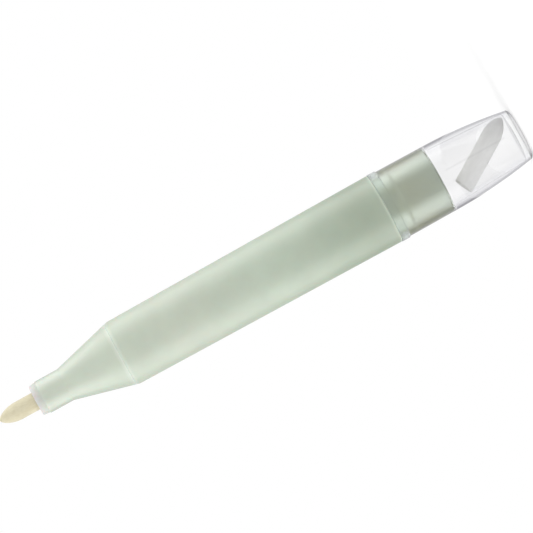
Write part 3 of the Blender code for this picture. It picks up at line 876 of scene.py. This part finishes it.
def seen(tree, strength):
    """The strength for camera, glossy and transmission rays, and nothing for the others."""
    path = node(tree, "ShaderNodeLightPath", {}).outputs
    glossy = maths(tree, "MAXIMUM", path["Is Camera Ray"], path["Is Glossy Ray"])
    either = maths(tree, "MAXIMUM", glossy, path["Is Transmission Ray"])
    return maths(tree, "MULTIPLY", either, strength)


def add_floor():
    """Pale floor; the camera, reflections and clear plastic see it white outside the shadow."""
    shape = bmesh.new()
    bmesh.ops.create_circle(shape, cap_ends=True, segments=FLOOR_STEPS, radius=FLOOR_RADIUS)
    mesh = bpy.data.meshes.new("floor")
    shape.to_mesh(mesh)
    shape.free()
    floor = bpy.data.objects.new("floor", mesh)
    floor.location.z = -FLOOR_DROP
    bpy.context.scene.collection.objects.link(floor)
    material = bpy.data.materials.new("floor")
    material.use_nodes = True
    tree = material.node_tree
    tree.nodes.clear()
    paint = node(tree, "ShaderNodeBsdfDiffuse", {"Color": (FLOOR_COLOUR, FLOOR_COLOUR, FLOOR_COLOUR, 1)})
    lift = node(tree, "ShaderNodeEmission", {"Color": (1, 1, 1, 1), "Strength": seen(tree, FLOOR_LIFT)})
    both = node(tree, "ShaderNodeAddShader", {0: paint.outputs[0], 1: lift.outputs[0]})
    node(tree, "ShaderNodeOutputMaterial", {"Surface": both.outputs[0]})
    mesh.materials.append(material)


def sees_white(tree):
    """1 for rays that reach the world from the camera or straight out of clear plastic, otherwise 0.

    A ray out of clear plastic also gets 0 if it has met a diffuse surface, or if it has met a gloss
    and been into the cap and out again, across four faces of its wall.
    """
    path = node(tree, "ShaderNodeLightPath", {}).outputs
    been_inside = maths(tree, "GREATER_THAN", path["Transmission Depth"], ROUND_TRIP)
    glossy = maths(tree, "MULTIPLY", path["Glossy Depth"], been_inside)
    bounces = maths(tree, "ADD", path["Diffuse Depth"], glossy)
    through = maths(tree, "GREATER_THAN", path["Is Transmission Ray"], bounces)
    return maths(tree, "MAXIMUM", path["Is Camera Ray"], through)


def add_world():
    """White where sees_white is 1, and otherwise a studio that is the same above and below."""
    world = bpy.data.worlds.new("studio")
    world.use_nodes = True
    tree = world.node_tree
    tree.nodes.clear()
    x, y, z = axes(tree, node(tree, "ShaderNodeTexCoord", {}).outputs["Generated"])
    turn = maths(tree, "ARCTAN2", x, maths(tree, "MULTIPLY", y, -1.0))
    round_pen = spread(tree, turn, 0, 1, (-math.pi, math.pi))
    stops = [((angle + 180) / 360, (level / STUDIO_SCALE,) * 3) for angle, level in STUDIO]
    inputs = {0: ramp(tree, round_pen, stops), "Scale": STUDIO_SCALE}
    wall = node(tree, "ShaderNodeVectorMath", inputs, operation="SCALE").outputs["Vector"]
    ceiling = spread(tree, maths(tree, "ABSOLUTE", z), 0, 1, (CEILING_START, CEILING_FULL))
    level = blend(tree, ceiling, wall, (ZENITH_LEVEL,) * 3 + (1,))
    studio = node(tree, "ShaderNodeBackground", {"Color": level, "Strength": 1.0}).outputs[0]
    white = node(tree, "ShaderNodeBackground", {"Color": (1, 1, 1, 1), "Strength": 1.0}).outputs[0]
    both = node(tree, "ShaderNodeMixShader", {0: sees_white(tree), 1: studio, 2: white})
    node(tree, "ShaderNodeOutputWorld", {"Surface": both.outputs[0]})
    bpy.context.scene.world = world


def add_camera():
    """Camera at the photograph's angle, with the pen's two ends on their pixels."""
    pen = Vector((END_PIXEL[0] - TIP_PIXEL[0], TIP_PIXEL[1] - END_PIXEL[1]))
    scale = PEN_LENGTH * math.cos(CAMERA_RISE) / pen.length
    lean = pen.normalized()
    side = Vector((1, 0, 0))
    rise = Vector((0, math.sin(CAMERA_RISE), math.cos(CAMERA_RISE)))
    back = Vector((0, -math.cos(CAMERA_RISE), math.sin(CAMERA_RISE)))
    right = -lean.y * side - lean.x * rise
    up = lean.x * side - lean.y * rise
    middle = Vector((0, 0, PEN_LENGTH / 2))
    across = PHOTO_WIDTH / 2 - (TIP_PIXEL[0] + END_PIXEL[0]) / 2
    above = (TIP_PIXEL[1] + END_PIXEL[1]) / 2 - PHOTO_WIDTH / 2
    target = middle + (right * across + up * above) * scale
    lens = bpy.data.cameras.new("camera")
    lens.sensor_width = SENSOR_WIDTH
    lens.lens = SENSOR_WIDTH * CAMERA_DISTANCE / (PHOTO_WIDTH * scale)
    lens.clip_start = 0.01
    camera = bpy.data.objects.new("camera", lens)
    bpy.context.scene.collection.objects.link(camera)
    turn = Matrix((right, up, back)).transposed().to_4x4()
    camera.matrix_world = Matrix.Translation(target + back * CAMERA_DISTANCE) @ turn
    bpy.context.scene.camera = camera


def dress(obj, replaced, body, slot, *materials):
    """Give a fine mesh its materials, and let it stand for its solid on that solid's body."""
    for material in materials:
        obj.data.materials.append(material)
    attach(obj, body)
    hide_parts(replaced)


def finish_node(name, material):
    """Give a solid that stays in view a better material."""
    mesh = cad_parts[name].data
    mesh.materials.clear()
    mesh.materials.append(material)


def polish_tenon(mesh):
    """Give the faces behind the barrel's shoulder its second material."""
    for face in mesh.polygons:
        if face.center.z < SHOULDER_Z - SEAT:
            face.material_index = 1


def divide_cap(mesh):
    """Give the faces that look inward or up the cap's second material, and its end corner the third."""
    for face in mesh.polygons:
        inward = face.normal.x * face.center.x + face.normal.y * face.center.y < 0
        upward = face.center.z > CAP_END_WALL / 2 and face.normal.z > LOOKS_UP
        if inward or upward:
            face.material_index = 1
        elif face.center.z < CAP_CORNER:
            face.material_index = 2


def dress_pen():
    """Barrel, nose, tip holder and plug, which stay together when the cap and the tip come off."""
    frosted = frosted_plastic()
    shell = barrel()
    dress(shell, "barrel", "pen", "frosted_green_plastic", frosted, tenon_plastic())
    polish_tenon(shell.data)
    dress(nose_section(), "nose_section", "pen", "frosted_green_plastic", frosted)
    dress(tip_holder(), "tip_holder", "pen", "natural_plastic", milky_plastic())
    dress(rear_plug(), "rear_plug", "pen", "plug_plastic", plug_plastic())


def dress_cap():
    """The clear cap, with one material outside, one inside and one on its flat end and corner."""
    cap = end_cap()
    dress(cap, "end_cap", "cap", "clear_plastic",
          clear_plastic("clear_plastic", CLEAR_OUTSIDE, CLEAR_OUTSIDE_IOR, 1.0),
          clear_plastic("clear_plastic_inside", CLEAR_INSIDE, CLEAR_INSIDE_IOR, 0.0, inner=1),
          clear_plastic("clear_plastic_end", CLEAR_AT_EDGES, CLEAR_END_IOR, 1.0))
    divide_cap(cap.data)


def dress_tips():
    """The felt tip in use and the spare one in the chamber, which is grey, with painted shade at its
    point.
    """
    tip = felt_tip("felt_tip", seed=0.0)
    tip.location.z = TIP_END_Z
    yellowish = felt("felt", (0.68, 0.635, 0.465), (0.60, 0.545, 0.38))
    dress(tip, "applicator_tip", "tip", "felt", yellowish)
    spare = felt_tip("spare_felt_tip", seed=40.0)
    spare.matrix_world = spare_place()
    grey = felt("spare_felt", (0.875, 0.875, 0.86), (0.785, 0.785, 0.77), SPARE_POINT_SHADE)
    dress(spare, "spare_tip", "cap", "spare_felt", grey)


def dress_inside():
    """Wick, filler and film: sealed in, they keep their solids' shapes and get finer materials."""
    white_fibre = fibre()
    finish_node("feed_wick", white_fibre)
    finish_node("reservoir_core", white_fibre)
    finish_node("reservoir_wrap", film())


dress_pen()
dress_cap()
dress_tips()
dress_inside()
add_floor()
add_world()
add_camera()
bpy.context.scene.view_settings.view_transform = "Standard"
